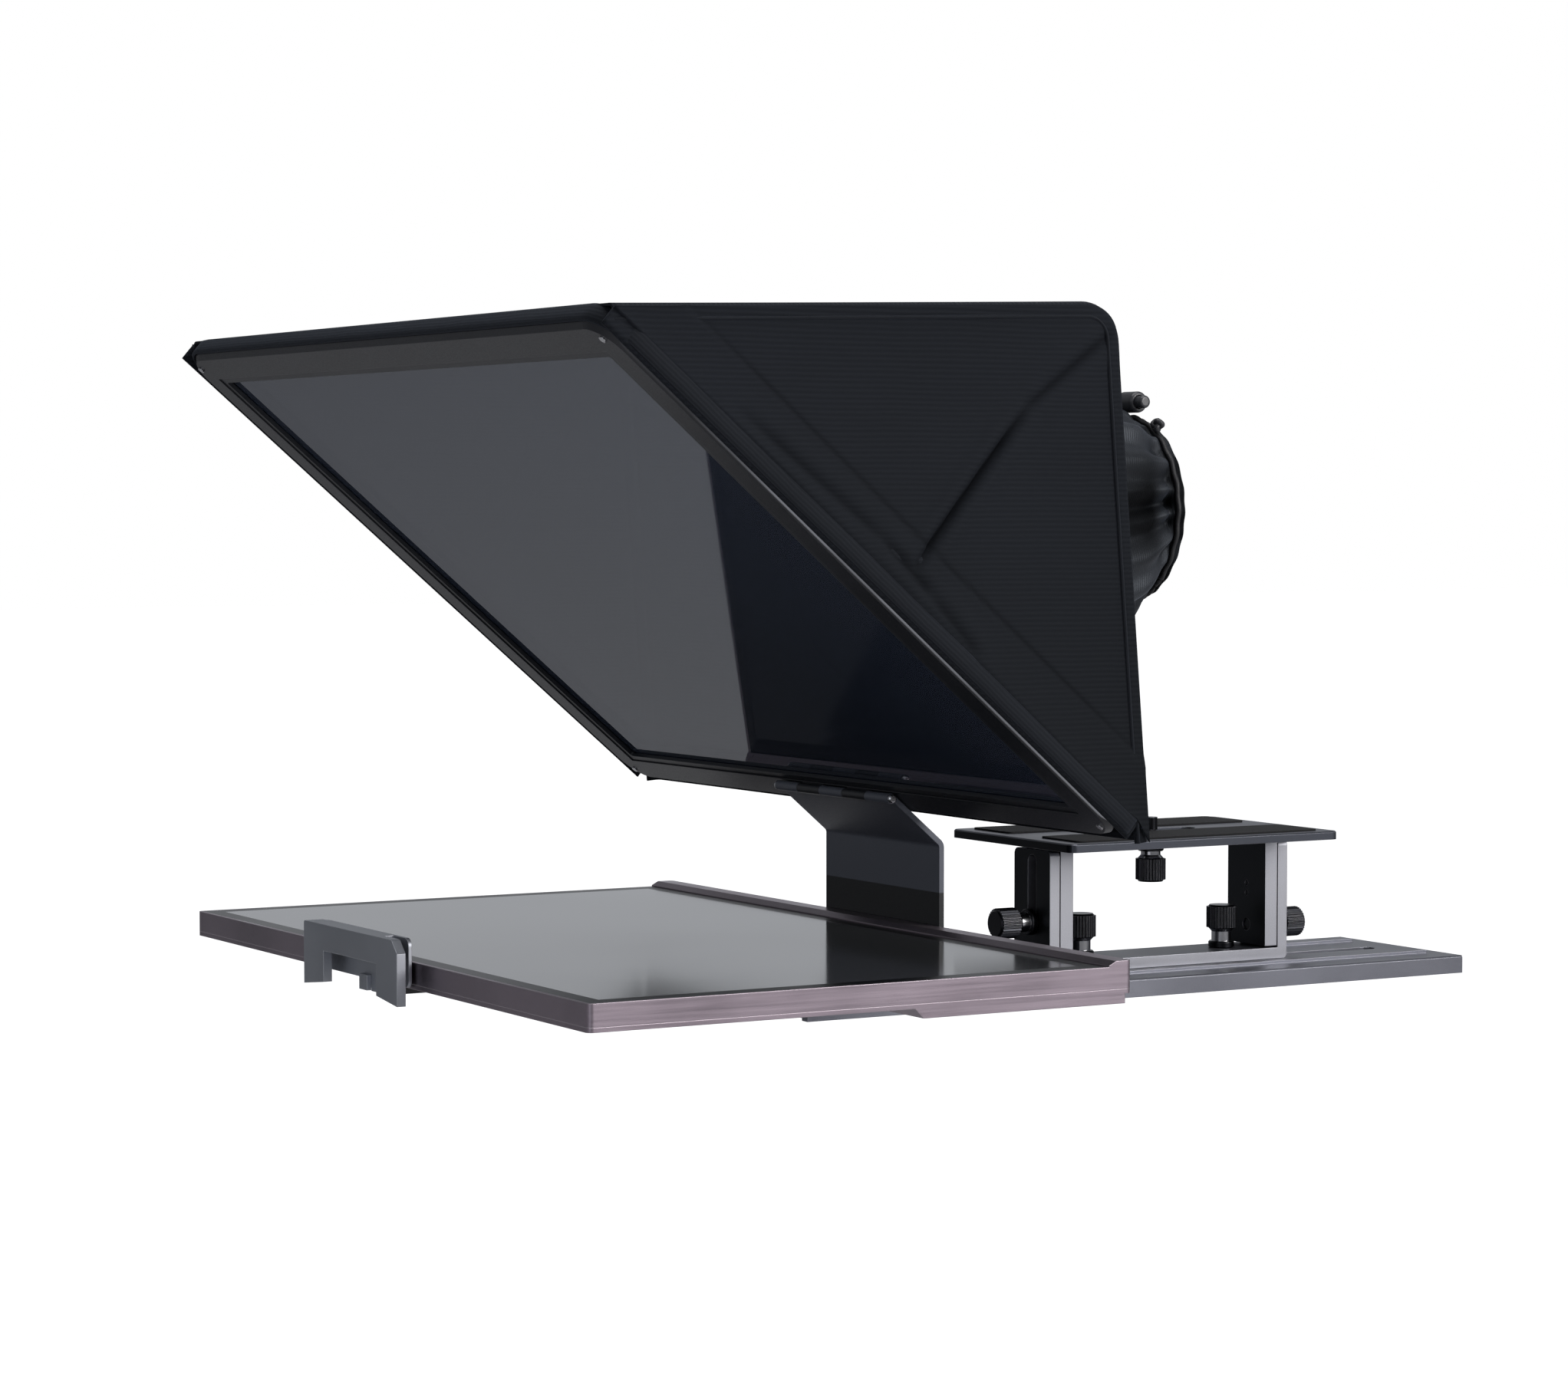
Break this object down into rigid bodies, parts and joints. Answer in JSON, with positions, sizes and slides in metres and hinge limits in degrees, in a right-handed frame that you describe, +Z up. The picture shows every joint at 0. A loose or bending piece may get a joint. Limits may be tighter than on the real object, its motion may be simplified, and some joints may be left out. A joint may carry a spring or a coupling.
{
  "type": "teleprompter",
  "caption": "On-camera teleprompter: flat screen under a folding beam-splitter glass with a cloth hood and lens sleeve, on a rail with a sliding, lifting camera platform.",
  "frame": {"origin": "mouth of the 3/8 inch tripod thread in the rail's underside", "axes": "-Y towards the talent, +Y towards the camera, +Z up, +X across"},
  "size_m": [0.4256, 0.5646, 0.3095],
  "materials": {
    "anodised_grey": "bead-blasted, grey anodised",
    "black_anodised": "satin black",
    "steel": "bright",
    "black_knob": "black oxide with bright edges, knurled",
    "housing_metal": "brushed, warm grey anodised",
    "screen_glass": "gloss, black printed border",
    "display": "dark display",
    "circuit_board": "solder mask",
    "black_plastic": "fine texture",
    "port_metal": "nickel plated",
    "mirror_glass": "polished, half-reflecting front coat",
    "soft_rubber": "matte",
    "hood_fabric": "fine ribbed weave, light-tight",
    "cord": "braided",
    "stay_rod": "glass-fibre rod"
  },
  "bodies": {
    "base": {"base_rail": "anodised_grey", "tripod_insert_large": "steel", "tripod_inserts_small": "steel", "mirror_bracket": "black_anodised", "hinge_pin": "steel", "mount_spacer": "black_anodised", "monitor_mount_plate": "black_anodised", "mount_screws": "steel", "vesa_screws": "steel", "support_arm": "black_anodised", "clip_guide": "black_anodised", "clip_spring": "steel", "monitor_housing": "housing_metal", "monitor_back_cover": "housing_metal", "monitor_glass": "screen_glass", "lcd_panel": "display", "backlight": "display", "controller_board": "circuit_board", "button_board": "circuit_board", "dc_jack": "black_plastic", "hdmi_port": "port_metal"},
    "clip": {"clip_jaw": "anodised_grey", "clip_tongue": "anodised_grey", "clip_pad": "soft_rubber"},
    "mirror": {"mirror_frame": "black_anodised", "glass_retainer": "black_anodised", "glass_gasket": "soft_rubber", "beam_splitter_glass": "mirror_glass", "glass_clamp": "black_anodised", "frame_screws": "steel", "hinge_knuckles": "black_anodised", "hood_wrap": "hood_fabric", "hood_side_left": "hood_fabric", "hood_side_right": "hood_fabric", "lens_sleeve_root": "hood_fabric", "lens_sleeve": "hood_fabric", "lens_sleeve_hem": "hood_fabric", "rear_hoop": "steel", "side_stays": "stay_rod", "drawstring": "cord", "cord_lock": "black_plastic"},
    "lock_button": {"cord_lock_button": "black_plastic"},
    "power_button": {"power_button": "black_plastic"},
    "menu_up_button": {"menu_up_button": "black_plastic"},
    "menu_down_button": {"menu_down_button": "black_plastic"},
    "carriage": {"lower_riser": "anodised_grey", "rail_nuts": "steel"},
    "clamp_knob_front": {"clamp_knob_front": "black_knob"},
    "clamp_knob_rear": {"clamp_knob_rear": "black_knob"},
    "platform": {"camera_platform": "anodised_grey", "platform_pads": "soft_rubber"},
    "height_knob_front": {"height_knob_front": "black_knob"},
    "height_knob_rear": {"height_knob_rear": "black_knob"},
    "screw_slider": {"screw_bush": "steel"},
    "camera_screw": {"camera_screw": "black_knob"}
  },
  "joints": [
    {"name": "clip_slide", "type": "slide", "parent": "base", "child": "clip", "axis": [0, -1, 0], "range_m": [0, 0.012], "stiffness_N_per_m": 500, "springref_m": -0.006, "deforming": ["clip_spring"]},
    {"name": "mirror_fold", "type": "hinge", "parent": "base", "child": "mirror", "pos_m": [0, -0.14817, 0.09677], "axis": [1, 0, 0], "range_deg": [0, 38]},
    {"name": "lock_button_press", "type": "slide", "parent": "mirror", "child": "lock_button", "axis": [-1, 0, 0], "range_m": [0, 0.002], "stiffness_N_per_m": 400, "springref_m": -0.002},
    {"name": "power_button_press", "type": "slide", "parent": "base", "child": "power_button", "axis": [0, -1, 0], "range_m": [0, 0.0006], "stiffness_N_per_m": 1500, "springref_m": -0.0004},
    {"name": "menu_up_press", "type": "slide", "parent": "base", "child": "menu_up_button", "axis": [0, -1, 0], "range_m": [0, 0.0006], "stiffness_N_per_m": 1500, "springref_m": -0.0004},
    {"name": "menu_down_press", "type": "slide", "parent": "base", "child": "menu_down_button", "axis": [0, -1, 0], "range_m": [0, 0.0006], "stiffness_N_per_m": 1500, "springref_m": -0.0004},
    {"name": "carriage_slide", "type": "slide", "parent": "base", "child": "carriage", "axis": [0, 1, 0], "range_m": [-0.052, 0.05]},
    {"name": "clamp_knob_front_turn", "type": "hinge", "parent": "carriage", "child": "clamp_knob_front", "pos_m": [0, -0.013, 0.024], "axis": [0, 0, 1], "range_deg": [0, 360]},
    {"name": "clamp_knob_rear_turn", "type": "hinge", "parent": "carriage", "child": "clamp_knob_rear", "pos_m": [0, 0.0686, 0.024], "axis": [0, 0, 1], "range_deg": [0, 360]},
    {"name": "platform_lift", "type": "slide", "parent": "carriage", "child": "platform", "axis": [0, 0, 1], "range_m": [0, 0.028]},
    {"name": "height_knob_front_turn", "type": "hinge", "parent": "platform", "child": "height_knob_front", "pos_m": [0, -0.05, 0.032], "axis": [0, -1, 0], "range_deg": [0, 360]},
    {"name": "height_knob_rear_turn", "type": "hinge", "parent": "platform", "child": "height_knob_rear", "pos_m": [0, 0.106, 0.0243], "axis": [0, 1, 0], "range_deg": [0, 360]},
    {"name": "camera_screw_slide", "type": "slide", "parent": "platform", "child": "screw_slider", "axis": [0, 1, 0], "range_m": [-0.02, 0.02]},
    {"name": "camera_screw_turn", "type": "hinge", "parent": "screw_slider", "child": "camera_screw", "pos_m": [0, 0.027, 0.06], "axis": [0, 0, -1], "continuous": true}
  ]
}
